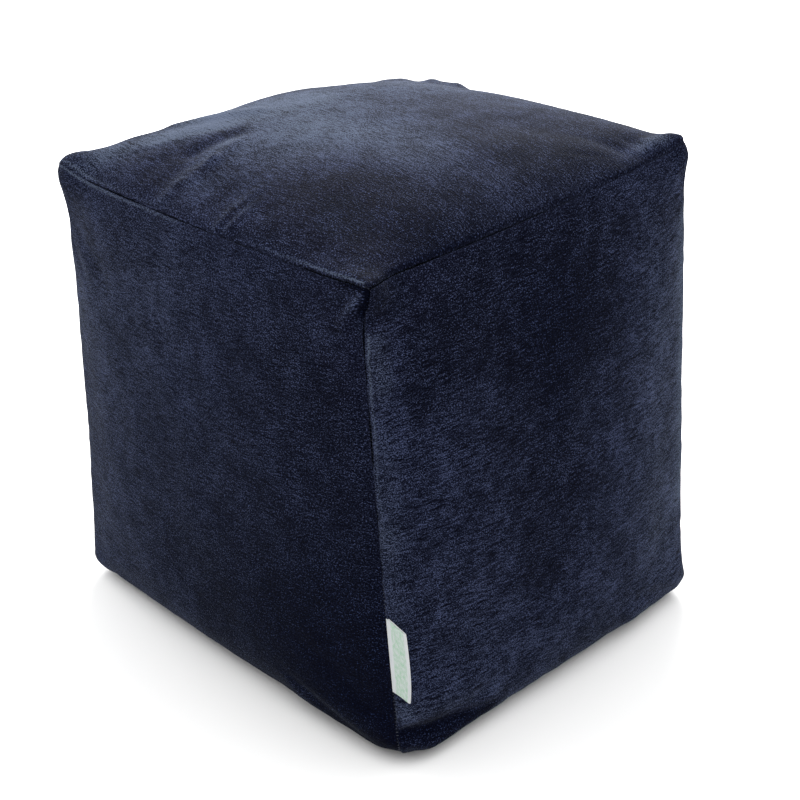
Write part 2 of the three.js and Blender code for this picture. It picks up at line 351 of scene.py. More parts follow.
def settleCover():
    cells = settle["cells"]
    welded, count = weldedBox(cells)
    lines = gridLines(cells)
    u, v = np.meshgrid(lines, lines)
    start, cut = np.zeros((count, 3)), np.zeros((count, 3))
    quads, sewn = [], []
    for name in panels:
        ids = welded[name]
        cube = cubePoints(name, u, v)
        start[ids.ravel()] = skin(name, u, v).reshape(-1, 3)
        cut[ids.ravel()] = addBows(cornerMix(cube), cube).reshape(-1, 3)
        quads.append(ids.ravel()[gridQuads(cells + 1)])
        sewn += [ids[0], ids[-1], ids[:, 0], ids[:, -1]]
    cut = centre + (cut - centre) * (1 + settle["ease"])
    shell = makeObject("settlingCover", start, np.concatenate(quads))
    shell.shape_key_add(name="filled")
    flatCut = shell.shape_key_add(name="flatCut")
    flatCut.data.foreach_set("co", cut.ravel())
    flatCut.value = 0
    held = shell.vertex_groups.new(name="held")
    held.add(list(range(count)), settle["faceHold"], "REPLACE")
    fixed = np.unique(np.concatenate(sewn + [welded["base"].ravel()]))
    held.add([int(k) for k in fixed], 1.0, "REPLACE")
    cloth = shell.modifiers.new("settle", "CLOTH")
    cloth.settings.quality = settle["steps"]
    cloth.settings.mass = settle["mass"]
    cloth.settings.tension_stiffness = settle["stretch"]
    cloth.settings.compression_stiffness = settle["stretch"]
    cloth.settings.shear_stiffness = settle["shear"]
    cloth.settings.bending_stiffness = settle["bending"]
    cloth.settings.use_pressure = True
    cloth.settings.uniform_pressure_force = settle["pressure"]
    cloth.settings.effector_weights.gravity = 0
    cloth.settings.rest_shape_key = flatCut
    cloth.settings.vertex_group_mass = "held"
    cloth.collision_settings.use_collision = False
    cloth.point_cache.frame_end = settle["frames"]
    for step in range(1, settle["frames"] + 1):
        scene.frame_set(step)
    settled = shell.evaluated_get(bpy.context.evaluated_depsgraph_get())
    moved = meshPoints(settled.to_mesh()) - start
    settled.to_mesh_clear()
    scene.frame_set(1)
    bpy.data.objects.remove(shell)
    length = np.linalg.norm(moved, axis=1)
    report = "settling moved points by up to %.1f mm, %.1f mm on average"
    print(report % (length.max() * 1e3, length.mean() * 1e3))
    moved *= (settle["limit"] / (settle["limit"] + length))[:, None]
    return {name: moved[welded[name]] for name in panels}


settling = settleCover()
print("cover settled")

# --- the cloth's small forms
details = {
    "billowSize": 0.085,  # broad unevenness of the filling under the cloth
    "billow": 0.0012,
    "ripple": 0.0005,
    "rippleSize": 0.030,
    "grooveDepth": 0.0015,  # two rounded panel edges meet in a groove
    "grooveReach": 0.0045,
    "fillsUpFrom": 0.5,  # left of this u, the groove between the top and the front fills up
    "puckerSize": 0.0095,  # gathers that run away from a seam
    "puckerLength": 0.022,
    "lipReach": 0.0035,  # from the seam to the top of its lip
    "lipRise": 0.6,  # how much a lip rises for what it leans over
    "peakWidth": 0.45,  # along the seam, as a share of half its length
    "flattened": 0.75,  # the pile lies flat beside the seams and shows less grain
    "flattenedReach": 0.010,
}

# A panel's edges beside its seams: gathers, a lip that stands over the seam, and an extra
# tuck under it. Each row: which direction, which end, gathers, lip height, tuck depth, and
# where along the seam the lip and tuck peak.
hiddenEdges = [
    ("u", -1, 0.0006, 0.0008, 0.0, 0.0),
    ("u", 1, 0.0006, 0.0, 0.0, 0.0),
    ("v", 1, 0.0005, 0.0, 0.0, 0.0),
    ("v", -1, 0.0006, 0.0, 0.0, 0.0),
]
edges = {
    "top": [
        ("v", -1, 0.0004, 0.0022, 0.0, 1.0),
        ("u", 1, 0.0004, 0.0004, 0.0, 0.0),
        ("v", 1, 0.0004, 0.0008, 0.0, 0.0),
        ("u", -1, 0.0004, 0.0008, 0.0, 0.0),
    ],
    "front": [
        ("v", 1, 0.0004, 0.0, 0.0030, 1.0),
        ("u", 1, 0.0005, 0.0, 0.0016, 0.0),
        ("u", -1, 0.0005, 0.0006, 0.0, 0.0),
        ("v", -1, 0.0006, 0.0, 0.0, 0.0),
    ],
    "right": [
        ("u", -1, 0.0010, 0.0012, 0.0, 0.0),
        ("v", 1, 0.0005, 0.0, 0.0, 0.0),
        ("u", 1, 0.0006, 0.0006, 0.0, 0.0),
        ("v", -1, 0.0006, 0.0, 0.0, 0.0),
    ],
    "back": hiddenEdges,
    "left": hiddenEdges,
    "base": [],
}

noiseSide = 32
noiseSeed = 43
noiseBox = np.random.default_rng(noiseSeed).uniform(-1, 1, (noiseSide, noiseSide, noiseSide))


# Smooth noise between -1 and 1, with humps of one size.
def softNoise(points, size):
    at = points / size
    cell = np.floor(at).astype(int)
    t = at - cell
    t = t * t * (3 - 2 * t)
    total = np.zeros(points.shape[:-1])
    for corner in itertools.product((0, 1), repeat=3):
        near = np.where(np.array(corner) == 1, t, 1 - t).prod(axis=-1)
        index = (cell + np.array(corner)) % noiseSide
        total += near * noiseBox[index[..., 0], index[..., 1], index[..., 2]]
    return total


# The settling's coarse grid is carried to the fine one by a smooth cubic through its points.
def cubicSteps(coarse, fine):
    at = np.linspace(0, coarse, fine + 1)
    cell = np.minimum(at.astype(int), coarse - 1)
    t = at - cell
    weights = [(-t ** 3 + 2 * t ** 2 - t) / 2, (3 * t ** 3 - 5 * t ** 2 + 2) / 2,
               (-3 * t ** 3 + 4 * t ** 2 + t) / 2, (t ** 3 - t ** 2) / 2]
    steps = np.zeros((fine + 1, coarse + 1))
    for k, weight in enumerate(weights):
        np.add.at(steps, (np.arange(fine + 1), np.clip(cell + k - 1, 0, coarse)), weight)
    return steps


def settledShift(name, row):
    steps = cubicSteps(settle["cells"], row - 1)
    return np.einsum("ai,ijk,bj->abk", steps, settling[name], steps)


# How far in from one seam, in metres.
def seamDistance(name, u, v, part, end):
    span = panelSpan(name)[0 if part == "u" else 1]
    return (1 - end * (u if part == "u" else v)) * span


def edgeForms(name, u, v, place):
    shift = np.zeros(place.shape)
    out = axis(name, "out")
    for part, end, gather, lip, tuck, peak in edges[name]:
        away = seamDistance(name, u, v, part, end)
        along = v if part == "u" else u
        strength = np.exp(-(((along - peak) / details["peakWidth"]) ** 2)) if peak else 1.0
        across = end * axis(name, part)
        rise = gather * softNoise(place + 0.5, details["puckerSize"])
        rise = rise * np.exp(-away / details["puckerLength"])
        hump = away / details["lipReach"] * np.exp(1 - away / details["lipReach"])
        shift += (rise + lip * strength * hump * details["lipRise"])[..., None] * out
        shift += (lip * strength * hump)[..., None] * across
        shift -= (tuck * strength * hump)[..., None] * out
    return shift


# The groove fills up toward the left end of the seam between the top and the front.
def groove(name, u, v):
    shift = np.zeros(u.shape + (3,))
    for part, end in itertools.product("uv", (-1, 1)):
        away = seamDistance(name, u, v, part, end)
        near = np.maximum(0, 1 - away / details["grooveReach"]) ** 2
        if (name, part, end) in (("top", "v", -1), ("front", "v", 1)):
            near = near * (1 - np.clip(details["fillsUpFrom"] - u, 0, 1))
        shift -= (details["grooveDepth"] * near)[..., None] * (end * axis(name, part) + axis(name, "out"))
    return shift / math.sqrt(2)


# The cloth's outer face. The base stays flat on the floor.
def clothSurface(name, u, v):
    if name == "base":
        return skin(name, u, v) + groove(name, u, v) * np.array([1, 1, 0])
    place = skin(name, u, v) + settledShift(name, len(u))
    rise = details["billow"] * softNoise(place, details["billowSize"])
    rise += details["ripple"] * softNoise(place + 0.3, details["rippleSize"])
    shift = rise[..., None] * axis(name, "out")
    return place + groove(name, u, v) + edgeForms(name, u, v, place) + shift


# --- the six panels, each a closed sheet with its own flat-cut map
def rimQuads(row):
    under = row * row
    i = np.arange(row - 1)
    last = row - 1
    runs = [(i, i + 1), (last * row + i + 1, last * row + i), ((i + 1) * row, i * row),
            (i * row + last, (i + 1) * row + last)]
    return np.concatenate([np.stack([a, a + under, b + under, b], axis=1) for a, b in runs])


def inward(points, depth):
    return centre + (points - centre) * (1 - depth / cover["halfHeight"])


# Patches of pile tone: from (u, v) to (u, v), strength, and reach. On the back and left panels the pile
# is brushed light or dark. On the top, front and right panels most rows are painted light and shade:
# painted sheen where the back light grazes a rim, painted highlights on fold ridges and seam lips, and
# painted shade in troughs and pockets, under lips, along the base roll and where a panel turns from the
# light.
pileAndPaintedLightPatches = {
    "top": [
        # Top: pile brushed light over the back, left and middle, with painted sheen where the back light
        # grazes the dome.
        ((-0.60, -0.20), (-0.40, 0.60), 0.95, 0.085),
        ((-0.30, 0.60), (0.30, 0.75), 0.20, 0.080),
        ((-0.10, -0.25), (0.40, -0.18), 1.35, 0.070),
        ((-0.20, -0.62), (0.05, -0.56), 0.35, 0.045),
        ((-0.25, -0.86), (0.40, -0.86), 0.22, 0.026),
        # Painted sheen: a bright band along the top's left rim, where the back light grazes it.
        ((-0.84, -0.88), (-0.62, -0.45), 1.50, 0.022),
        ((-0.62, -0.42), (-0.50, 0.00), 1.30, 0.028),
        ((-0.68, -0.70), (-0.50, -0.45), 1.00, 0.008),
        # Painted highlight on the puff by the right corner.
        ((0.90, 0.62), (0.94, 0.86), 1.00, 0.014),
        # Painted shade: the top darker towards the front right corner and on the right, where it turns
        # from the light.
        ((0.48, -0.62), (0.90, -0.62), -1.20, 0.080),
        ((0.69, 0.20), (0.86, 0.60), -0.90, 0.065),
        # Painted shade in the creases of the folds near the front seam.
        ((-0.45, -0.90), (-0.40, -0.72), -0.40, 0.022),
        ((0.02, -0.90), (-0.02, -0.76), -0.50, 0.007),
        ((-0.46, -0.68), (-0.41, -0.46), -0.90, 0.010),
        # Painted highlights along the ridges of the folds, and on the puff by the right corner.
        ((-0.300, -0.84), (-0.355, -0.52), (0.50, 0.90), 0.0040),
        ((0.125, -0.99), (0.120, -0.83), 0.70, 0.0030),
        ((0.190, -0.98), (0.190, -0.85), 0.70, 0.0030),
        ((-0.265, -0.97), (-0.27, -0.865), 0.40, 0.0035),
        ((0.91, 0.78), (0.93, 0.88), 0.90, 0.012),
        # Painted shade along the seam between the top and the right panel.
        ((0.988, 0.60), (0.988, 0.93), -0.40, 0.003),
        ((0.990, -0.95), (0.990, 0.85), -0.55, 0.0014),
        # Painted highlights along the top's lip over the front seam.
        ((-0.97, -0.988), (-0.30, -0.988), (1.20, 0.40), 0.0013),
        ((0.30, -0.988), (0.97, -0.988), (0.40, 2.70), 0.0013),
    ],
    "front": [
        # Painted shade low down and towards the front right seam; painted light high on the left, where
        # the light falls.
        ((0.90, 0.40), (0.88, -0.95), (-0.50, -1.75), 0.125),
        ((0.10, -0.60), (0.70, -0.80), -0.75, 0.100),
        ((-0.75, 0.40), (-0.20, 0.78), 0.27, 0.080),
        # At the front corner: a painted highlight on the ridge, painted shade in the pocket and under the
        # top's lip.
        ((0.970, 0.972), (0.925, 0.860), (1.30, 0.50), 0.0034),
        ((0.993, 0.975), (0.990, 0.905), -3.40, 0.0042),
        ((0.86, 0.990), (0.97, 0.990), (-0.40, -3.00), 0.0030),
        # Painted highlight along the front's top edge, under the top's lip.
        ((-0.97, 0.992), (-0.10, 0.992), (2.00, 0.80), 0.0014),
        # Painted highlight on the ridge above the base; painted shadow along the base roll.
        ((0.50, -0.89), (0.90, -0.85), 0.80, 0.010),
        ((0.10, -0.985), (0.98, -0.950), (-0.30, -0.90), 0.014),
    ],
    "right": [
        # Pile brushed light beside the front right seam.
        ((-0.97, 0.84), (-0.98, 0.00), (0.60, 0.50), 0.020),
        ((-0.98, 0.00), (-0.98, -0.75), (0.40, 0.40), 0.013),
        ((-0.95, 0.82), (-0.93, 0.62), 0.80, 0.013),
        # Painted highlight along the seam's rolled edge; painted shade at its top by the front corner.
        ((-0.986, 0.82), (-0.986, 0.00), (1.40, 0.30), 0.0011),
        ((-0.95, 0.93), (-0.96, 0.86), -0.90, 0.010),
        # Painted shade high up and in a band down the middle where the panel turns from the light;
        # painted sheen towards the right rim and painted light low down.
        ((-0.70, 0.80), (0.15, 0.75), -0.82, 0.090),
        ((0.00, 0.50), (-0.10, -0.30), -0.75, 0.060),
        ((0.75, 0.30), (0.80, -0.60), 0.55, 0.060),
        ((0.60, 0.75), (0.85, 0.60), 0.40, 0.050),
        ((0.98, 0.70), (0.98, -0.50), 1.30, 0.015),
        ((-0.60, -0.50), (-0.10, -0.60), 0.20, 0.070),
        # Painted highlight on the ridge above the base, painted shade in the trough under it and painted
        # shadow along the base roll.
        ((-0.96, -0.77), (-0.50, -0.85), (0.60, 0.30), 0.016),
        ((-1.00, -0.845), (-0.50, -0.915), (-1.90, -1.10), 0.0080),
        ((-1.00, -0.930), (-0.55, -0.970), -1.10, 0.015),
    ],
    "back": [
        ((-0.50, 0.60), (0.40, 0.20), 0.30, 0.080),
        ((0.40, -0.60), (0.80, -0.20), -0.35, 0.080),
    ],
    "left": [
        ((-0.60, -0.40), (0.10, 0.30), 0.30, 0.080),
        ((0.30, -0.70), (0.80, -0.50), -0.35, 0.080),
    ],
    "base": [],
}


# The flat-cut map: each point's place on the cloth before sewing, in metres.
def addFlatMap(made, flat):
    corners = np.empty(len(made.data.loops), dtype=np.int64)
    made.data.loops.foreach_get("vertex_index", corners)
    layer = made.data.uv_layers.new(name="clothMetres")
    layer.data.foreach_set("uv", flat[corners].ravel())


def makePanel(name):
    lines = gridLines(cover["cells"], 1 - cover["sheetEdge"] / cover["halfWidth"])
    u, v = np.meshgrid(lines, lines)
    outer = clothSurface(name, u, v)
    row = len(lines)
    up = np.array([0, 0, cover["sheet"]])
    under = outer + up if name == "base" else inward(outer, cover["sheet"])
    points = np.concatenate([outer.reshape(-1, 3), under.reshape(-1, 3)])
    quads = np.concatenate([gridQuads(row), gridQuads(row)[:, ::-1] + row * row, rimQuads(row)])
    panel = makeObject("cloth_" + name, points, quads)
    spanU, spanV = panelSpan(name)
    flat = np.stack([u * spanU, v * spanV], axis=-1).reshape(-1, 2)
    addFlatMap(panel, np.concatenate([flat, flat]))
    # Pile tone with painted light and shade, from the patches above, kept as an attribute for the cover's
    # finish.
    pileAndPaintedLight = patches(name, u, v, pileAndPaintedLightPatches[name]).ravel()
    inset = np.minimum((1 - np.abs(u)) * spanU, (1 - np.abs(v)) * spanV).ravel()
    flattened = details["flattened"] * np.exp(-inset / details["flattenedReach"])
    rub = panels[name]["rub"] * (1 - flattened)
    for key, value in (("pileAndPaintedLight", pileAndPaintedLight), ("rub", rub)):
        values = np.concatenate([value, value])
        panel.data.attributes.new(key, "FLOAT", "POINT").data.foreach_set("value", values)
    return panel


clothPanels = {name: makePanel(name) for name in panels}
print("panels laid")

# --- the filling under the cloth, which shows only as the seams' dark allowance
fillSizes = {
    "cells": 72,
    "below": 0.0032,  # under the cloth's outer face
}


def makeFill():
    cells = fillSizes["cells"]
    welded, count = weldedBox(cells)
    u, v = np.meshgrid(gridLines(cells), gridLines(cells))
    total, met = np.zeros((count, 3)), np.zeros(count)
    quads = []
    for name in panels:
        ids = welded[name].ravel()
        np.add.at(total, ids, clothSurface(name, u, v).reshape(-1, 3))
        np.add.at(met, ids, 1)
        quads.append(ids[gridQuads(cells + 1)])
    points = inward(total / met[:, None], fillSizes["below"])
    return makeObject("fill_and_seams", points, np.concatenate(quads))


fill = makeFill()
print("filling made")

# --- the folded tape label, sewn into the front right seam
label = {
    "length": 0.070,
    "width": 0.0240,  # how far its fold stands out from the seam
    "low": 0.0745,
    "droop": 0.006,
    "droopPower": 1.3,
    "curl": 0.0030,
    "upperCurl": 0.4,  # how much of the curl its upper end has
    "lowerTaper": 0.33,  # how much narrower its lower end is
    "upperTaper": 0.10,
    "wave": 0.0012,
    "waves": 3.0,
    "tape": 0.0006,
    "slot": 0.0007,  # between the two layers, at the fold
    "rows": 60,
    "steps": 36,
    "foldSteps": 9,
    "standOff": 0.0006,
    "cutLength": 0.0485,  # both layers and the fold
}


# The seam between the front and the right panel, at a height share v.
def sideSeam(v):
    one = np.ones_like(v)
    return skin("front", one, v) + groove("front", one, v)


# The tape's section as a closed loop: out along one layer, round the fold and back, then the
# same on its inner face. With it, each point's place across the flat tape.
def tapeSection():
    across = np.linspace(0, 1, label["steps"] + 1)
    bend = np.linspace(0, math.pi, label["foldSteps"])[1:-1]
    thick, gap = label["tape"], label["slot"]
    outerY = gap / 2 + thick
    fold = label["width"] - outerY
    outer = [(x * fold, -outerY) for x in across]
    outer += [(fold + outerY * math.sin(t), -outerY * math.cos(t)) for t in bend]
    outer += [(x * fold, outerY) for x in across[::-1]]
    inner = [(x * fold, gap / 2) for x in across]
    inner += [(fold + gap / 2 * math.sin(t), gap / 2 * math.cos(t)) for t in bend]
    inner += [(x * fold, -gap / 2) for x in across[::-1]]
    loop = np.array(outer + inner)
    strip = np.concatenate([[0], np.cumsum(np.linalg.norm(np.diff(loop, axis=0), axis=1))])
    strip[len(outer):] = strip[len(outer):][::-1] - strip[len(outer)]
    return loop, strip


def makeLabel():
    loop, strip = tapeSection()
    rows = label["rows"]
    t = np.linspace(0, 1, rows + 1)
    height = label["low"] + t * label["length"]
    root = sideSeam((height - cover["halfHeight"]) / cover["halfHeight"])
    points, flat = [], []
    for row in range(rows + 1):
        reach = loop[:, 0] / label["width"]
        lower = (1 - t[row]) ** 3
        taper = 1 - label["lowerTaper"] * lower - label["upperTaper"] * t[row] ** 2
        x = root[row, 0] + label["standOff"] + loop[:, 0] * taper
        y = root[row, 1] + loop[:, 1] + label["curl"] * (reach ** 2) * (label["upperCurl"] + lower)
        z = root[row, 2] - label["droop"] * reach ** label["droopPower"]
        z = z + label["wave"] * np.sin(reach * label["waves"]) * lower
        points.append(np.stack([x, y, z], axis=1))
        flat.append(np.stack([strip, np.full(len(loop), t[row] * label["length"])], axis=1))
    count = len(loop)
    points, flat = np.concatenate(points), np.concatenate(flat)
    k = np.arange(count)
    ring = (k + 1) % count
    band = np.stack([k, k + count, ring + count, ring], axis=1)
    quads = [band + row * count for row in range(rows)]
    i = np.arange(count // 2 - 1)
    cap = np.stack([i, i + 1, count - 2 - i, count - 1 - i], axis=1)
    quads += [cap, cap[:, ::-1] + rows * count]
    made = makeObject("label_tape", points, np.concatenate(quads))
    addFlatMap(made, flat)
    return made


labelTape = makeLabel()
print("label folded")


# --- finishes. A Wire is an output socket that can be added, subtracted and multiplied.
class Wire:
    def __init__(self, finish, socket):
        self.finish = finish
        self.socket = socket

    def combine(self, operation, first, second):
        return self.finish.node("ShaderNodeMath", {"operation": operation}, {0: first, 1: second})

    def __add__(self, other):
        return self.combine("ADD", self, other)

    def __radd__(self, other):
        return self.combine("ADD", other, self)

    def __sub__(self, other):
        return self.combine("SUBTRACT", self, other)

    def __mul__(self, other):
        return self.combine("MULTIPLY", self, other)


# The nodes of one material or world.
class Finish:
    def __init__(self, block):
        self.block = block
        self.block.use_nodes = True
        self.nodes = self.block.node_tree.nodes
        self.links = self.block.node_tree.links
        self.nodes.clear()

    # Any node: its type, its settings, then the values or links of its sockets.
    def node(self, kind, settings=None, inputs=None, out=0):
        made = self.nodes.new(kind)
        for key, value in (settings or {}).items():
            setattr(made, key, value)
        for key, value in (inputs or {}).items():
            if isinstance(value, Wire):
                self.links.new(value.socket, made.inputs[key])
            else:
                made.inputs[key].default_value = value
        return Wire(self, made.outputs[out]) if len(made.outputs) else None

    def clamp(self, value):
        return self.node("ShaderNodeClamp", {}, {"Value": value})

    def mix(self, share, low, high):
        return self.node("ShaderNodeMix", {"data_type": "RGBA"}, {0: share, 6: low, 7: high}, out=2)

    # Noise between -1 and 1, near enough.
    def grain(self, place, scale, detail=2.0, roughness=0.5):
        spread = self.node("ShaderNodeMapping", {}, {"Vector": place, "Scale": scale})
        noise = self.node("ShaderNodeTexNoise", {}, {
            "Vector": spread, "Scale": 1.0, "Detail": detail, "Roughness": roughness})
        return (noise - 0.5) * 2.0

    def bump(self, height, strength, distance):
        return self.node("ShaderNodeBump", {}, {
            "Strength": strength, "Distance": distance, "Height": height})

    def surface(self, sockets):
        shader = self.node("ShaderNodeBsdfPrincipled", {}, sockets)
        self.node("ShaderNodeOutputMaterial", {}, {"Surface": shader})
        return self.block


def newFinish(name):
    return Finish(bpy.data.materials.new(name))


chenille = {
    "dark": (0.0002, 0.0004, 0.0036, 1),
    "light": (0.0410, 0.0520, 0.1070, 1),
    "paintedSheenGrey": (0.0580, 0.0730, 0.1120, 1),  # painted sheen: the light colour greyed where the patches are light
    "paintedSheenShare": 0.6,
    "paintedShadeBlue": (0.0250, 0.0400, 0.1060, 1),  # painted shade: the colour the darkest patches turn to
    "paintedShadeShare": 0.8,
    "paintedShadeFrom": 0.8,
    "balance": -1.95,  # the tone is summed as a power, so that dark and light both thin out evenly
    "mottle": 1.25,  # strengths of the grains, coarse to fine
    "drift": 0.35,
    "streak": 1.90,
    "dash": 1.40,
    "speck": 2.50,
    "fibre": 3.90,
    "mottleScale": (38, 38, 42),  # how many to the metre
    "driftScale": (9, 9, 11),
    "streakScale": (85, 400, 1),
    "dashScale": (55, 300, 1),
    "speckScale": (430, 560, 1),
    "fibreScale": (900, 1150, 1),
    "rowScale": (260, 900, 1),
    "dashFrom": 0.25,  # only the noise above this makes a dash
    "dashEdge": 4.0,
    "darkPileAndShadeShare": 0.7,
    "darkPileAndShadeGrit": 0.55,  # how much harder the grain reads where the pile lies dark and where shade is painted
    "darkPileAndShadeTone": 0.50,
    "bump": 0.60,
    "bumpHeight": 0.0008,
    "bumpStreak": 0.5,
    "bumpSpeck": 0.6,
    "bumpRow": 0.6,
    "roughness": 0.95,
    "specular": 0.042,
    "sheen": 0.16,  # only where the pile stands up
    "sheenLeast": 0.30,
    "sheenGain": 1.4,
    "sheenRoughness": 0.28,
    "sheenTint": (0.64, 0.76, 0.98, 1),
}


def makeChenille():
    finish = newFinish("navyChenille")
    flat = finish.node("ShaderNodeUVMap", {"uv_map": "clothMetres"})
    place = finish.node("ShaderNodeTexCoord", out="Object")
    pileAndPaintedLight = finish.node("ShaderNodeAttribute", {"attribute_name": "pileAndPaintedLight"}, out="Fac")
    rub = finish.node("ShaderNodeAttribute", {"attribute_name": "rub"}, out="Fac")
    mottle = finish.grain(place, chenille["mottleScale"], detail=3.0, roughness=0.6)
    drift = finish.grain(place, chenille["driftScale"], detail=1.0)
    streak = finish.grain(flat, chenille["streakScale"], detail=2.0, roughness=0.65)
    dash = finish.grain(flat, chenille["dashScale"], detail=1.0)
    dash = finish.clamp((dash - chenille["dashFrom"]) * chenille["dashEdge"])
    speck = finish.grain(flat, chenille["speckScale"], detail=1.0, roughness=0.7)
    fibre = finish.grain(flat, chenille["fibreScale"], detail=0.0)
    row = finish.grain(flat, chenille["rowScale"], detail=1.0)
    rubbed = mottle * chenille["mottle"] + streak * chenille["streak"] - dash * chenille["dash"]
    grit = speck * chenille["speck"] + fibre * chenille["fibre"]
    # Painted shade: where the patches are negative, mostly painted shade, the tone drops and the grain
    # reads harder.
    darkPileAndShade = finish.clamp(pileAndPaintedLight * -chenille["darkPileAndShadeShare"])
    tone = (chenille["balance"] + rubbed * rub + drift * chenille["drift"] + pileAndPaintedLight
            + grit * (darkPileAndShade * chenille["darkPileAndShadeGrit"] + 1.0) - darkPileAndShade * chenille["darkPileAndShadeTone"])
    share = finish.clamp(finish.node("ShaderNodeMath", {"operation": "EXPONENT"}, {0: tone}))
    # Painted sheen: where the patches are light, the light colour greys; painted shade: where they are
    # darkest, it turns to the shade blue.
    paintedSheenGrey = finish.clamp(pileAndPaintedLight * chenille["paintedSheenShare"])
    lightColourWithPaintedLight = finish.mix(paintedSheenGrey, chenille["light"], chenille["paintedSheenGrey"])
    paintedShadeBlue = finish.clamp((pileAndPaintedLight + chenille["paintedShadeFrom"]) * -chenille["paintedShadeShare"])
    lightColourWithPaintedLight = finish.mix(paintedShadeBlue, lightColourWithPaintedLight, chenille["paintedShadeBlue"])
    colour = finish.mix(share, chenille["dark"], lightColourWithPaintedLight)
    height = (streak * chenille["bumpStreak"] + speck * chenille["bumpSpeck"]
              + row * chenille["bumpRow"])
    flatPile = {
        "Base Color": colour, "Roughness": chenille["roughness"],
        "Specular IOR Level": chenille["specular"],
        "Normal": finish.bump(height, chenille["bump"], chenille["bumpHeight"])}
    standing = dict(flatPile)
    standing["Sheen Weight"] = chenille["sheen"]
    standing["Sheen Roughness"] = chenille["sheenRoughness"]
    standing["Sheen Tint"] = chenille["sheenTint"]
    both = finish.node("ShaderNodeMixShader", {}, {
        0: finish.clamp(chenille["sheenLeast"] + share * chenille["sheenGain"]),
        1: finish.node("ShaderNodeBsdfPrincipled", {}, flatPile),
        2: finish.node("ShaderNodeBsdfPrincipled", {}, standing)})
    finish.node("ShaderNodeOutputMaterial", {}, {"Surface": both})
    return finish.block


seamAllowance = {
    "dark": (0.006, 0.0075, 0.016, 1),
    "light": (0.013, 0.0165, 0.034, 1),
    "weave": (700, 700, 700),
    "bump": 0.4,
    "bumpHeight": 0.0003,
}


def makeSeamCloth():
    finish = newFinish("seamAllowance")
    place = finish.node("ShaderNodeTexCoord", out="Object")
    weave = finish.grain(place, seamAllowance["weave"], detail=1.0)
    share = finish.clamp(0.5 + weave * 0.5)
    return finish.surface({
        "Base Color": finish.mix(share, seamAllowance["dark"], seamAllowance["light"]),
        "Roughness": 0.95, "Specular IOR Level": 0.0,
        "Normal": finish.bump(weave, seamAllowance["bump"], seamAllowance["bumpHeight"])})


tape = {
    "white": (0.50, 0.52, 0.53, 1),
    "green": (0.27, 0.44, 0.31, 1),
    "band": 0.0135,  # the green band's middle, across one layer
    "bandWidth": 0.0085,  # half of the band's width
    "bandEdge": 900.0,  # how sharply the band ends
    "bandTone": 0.50,
    "bandTwill": 0.20,
    "bandWear": 1.2,
    "twill": 2600.0,
    "wornScale": (420, 260, 1),
    "bump": 0.3,
    "bumpHeight": 0.0002,
}


# A white satin tape with a plain pale-green band woven along it.
def makeTape():
    finish = newFinish("wovenTape")
    flat = finish.node("ShaderNodeUVMap", {"uv_map": "clothMetres"})
    across = finish.node("ShaderNodeSeparateXYZ", {}, {"Vector": flat}, out="X")
    length = finish.node("ShaderNodeSeparateXYZ", {}, {"Vector": flat}, out="Y")
    off = finish.node("ShaderNodeMath", {"operation": "ABSOLUTE"}, {0: across - tape["band"]})
    band = finish.clamp((off - tape["bandWidth"]) * -tape["bandEdge"])
    slant = (across * 0.5 + length) * tape["twill"]
    twill = finish.node("ShaderNodeMath", {"operation": "SINE"}, {0: slant})
    worn = finish.grain(flat, tape["wornScale"], detail=2.0)
    tone = tape["bandTone"] + twill * tape["bandTwill"] + worn * tape["bandWear"]
    share = finish.clamp(band * tone)
    return finish.surface({
        "Base Color": finish.mix(share, tape["white"], tape["green"]), "Roughness": 0.6,
        "Specular IOR Level": 0.3,
        "Normal": finish.bump(twill + worn, tape["bump"], tape["bumpHeight"])})


coverCloth, seamCloth, tapeCloth = makeChenille(), makeSeamCloth(), makeTape()
for panel in clothPanels.values():
    panel.data.materials.append(coverCloth)
fill.data.materials.append(seamCloth)
labelTape.data.materials.append(tapeCloth)
print("finishes made")

# --- seam stitches: short threads that cross each seam where the filling pulls it open
stitch = {
    "pitch": 0.0034,
    "length": 0.0022,
    "thread": 0.00028,
    "steps": 120,  # points along a seam
    "run": (-0.985, 0.860),  # where along a seam the thread starts and ends
    "sunk": 0.0022,  # most seams hide their thread; low down, the front right one is pulled open
    "openTo": -0.45,
    "deepest": 1.6,
    "sides": 6,
    "rings": 5,
    "least": (0.75, 0.70, 0.75),  # how much one stitch's size varies
    "most": (1.25, 1.15, 1.25),
    "seed": 7,
    "colour": (0.040, 0.045, 0.065, 1),
}
seams = [
    ("top", "v", -1), ("top", "u", 1), ("top", "v", 1), ("top", "u", -1),
    ("front", "u", 1), ("right", "u", 1), ("back", "u", 1), ("left", "u", 1),
    ("base", "u", -1), ("base", "v", 1), ("base", "u", 1), ("base", "v", -1),
]


def seamPath(name, part, end):
    along = np.linspace(*stitch["run"], stitch["steps"])
    fixed = np.full_like(along, end)
    u, v = (fixed, along) if part == "u" else (along, fixed)
    place = skin(name, u, v) + groove(name, u, v)
    facing = end * axis(name, part) + axis(name, "out")
    depth = np.full_like(along, stitch["sunk"])
    if (name, part) == ("front", "u"):
        depth *= np.clip(along - stitch["openTo"], 0, stitch["deepest"])
    outward = np.tile(facing / np.linalg.norm(facing), (len(along), 1))
    return place - facing * depth[:, None], outward


